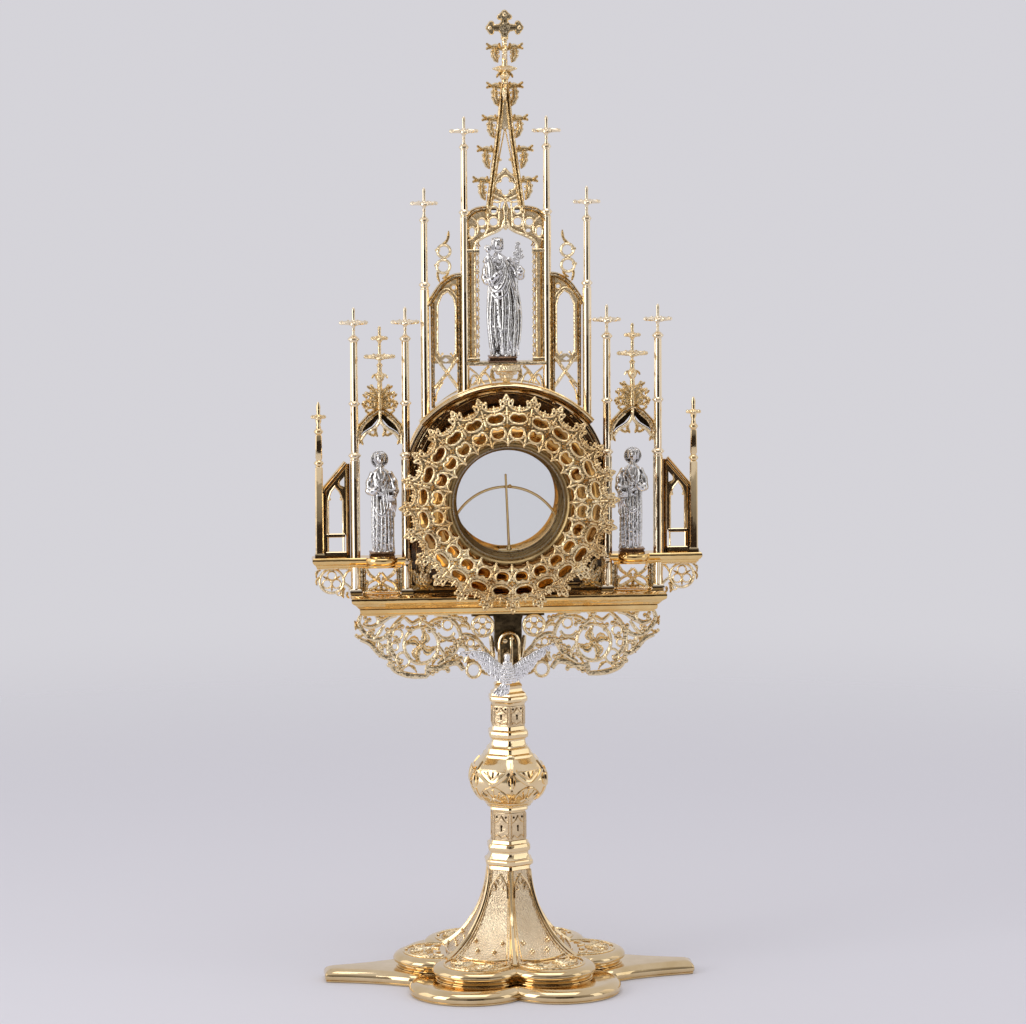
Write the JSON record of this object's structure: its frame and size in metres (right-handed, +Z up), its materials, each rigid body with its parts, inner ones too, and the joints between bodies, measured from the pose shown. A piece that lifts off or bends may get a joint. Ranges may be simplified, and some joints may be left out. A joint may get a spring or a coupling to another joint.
{
  "type": "altar monstrance",
  "caption": "Gothic tower monstrance: lobed foot, knopped stem, glazed luna case with hinged rear door, lace rosette, pinnacles and silver figures.",
  "frame": {"origin": "centre of the foot, on the surface it stands on", "axes": "+X to the right seen from the front, -Y towards the viewer, +Z up"},
  "size_m": [0.321, 0.22, 0.8],
  "materials": {
    "gold_case": "mirror polished gold plate",
    "gold_stem": "polished and stippled gold plate",
    "gold_fret": "polished cast gold plate",
    "gold_lace": "cast and bright-dipped gold plate",
    "gold_wire": "drawn wire, gold plate",
    "silver_figures": "bright silver plate",
    "silver_dove": "satin silver plate",
    "clear_glass": "clear flat glass",
    "steel_fasteners": "plain",
    "cover_board": "matt lacquered sheet"
  },
  "bodies": {
    "root": {"arch_moulding": "gold_case", "bracket_rosettes": "gold_fret", "buttress_left": "gold_fret", "buttress_right": "gold_fret", "canopy_tracery": "gold_fret", "case_back_plate": "gold_case", "case_body": "gold_case", "case_front_plate": "gold_case", "case_screws": "gold_case", "central_gable": "gold_fret", "central_pinnacles": "gold_fret", "corner_leaves": "gold_fret", "dove": "silver_dove", "flank_pinnacles": "gold_fret", "flank_tracery_left": "gold_fret", "flank_tracery_right": "gold_fret", "foot_base_cover": "cover_board", "foot_lobe_ornaments": "gold_stem", "foot_plinth": "gold_stem", "foot_trumpet": "gold_stem", "foot_upper_tier": "gold_stem", "front_bezel": "gold_case", "front_glass": "clear_glass", "gable_crockets": "gold_fret", "knop": "gold_stem", "knop_lower_collar": "gold_stem", "knop_upper_collar": "gold_stem", "lace_posts": "gold_lace", "lace_ring_inner": "gold_lace", "lace_ring_middle": "gold_lace", "lace_ring_outer": "gold_lace", "luna_drum": "gold_case", "luna_upright": "gold_wire", "main_shelf": "gold_case", "neck_plate": "gold_stem", "neck_post": "gold_stem", "niche_corbel": "gold_fret", "niche_frame": "gold_fret", "rear_door_hinge": "gold_case", "reflector_dish": "gold_case", "scroll_brackets": "gold_fret", "statue_central": "silver_figures", "statue_left": "silver_figures", "statue_right": "silver_figures", "stem_foot_collar": "gold_stem", "stem_lower_shaft": "gold_stem", "stem_top_collar": "gold_stem", "stem_upper_shaft": "gold_stem", "tie_rod": "steel_fasteners", "tie_rod_nuts": "steel_fasteners", "wing_canopy_left": "gold_fret", "wing_canopy_right": "gold_fret", "wing_columns_left": "gold_fret", "wing_columns_right": "gold_fret", "wing_shelves": "gold_fret", "wing_tracery": "gold_fret"},
    "rear_door": {"rear_door_ring": "gold_case", "rear_door_glass": "clear_glass", "rear_door_knob": "gold_case"},
    "luna_bow": {"luna_bow": "gold_wire"}
  },
  "joints": [
    {"name": "rear_door_hinge", "type": "hinge", "parent": "root", "child": "rear_door", "pos_m": [-0.058, 0.0336, 0.399], "axis": [0, 0, 1], "range_deg": [0, 110]},
    {"name": "luna_bow_pivot", "type": "hinge", "parent": "root", "child": "luna_bow", "pos_m": [0, 0.014, 0.381], "axis": [-1, 0, 0], "range_deg": [0, 25]}
  ]
}
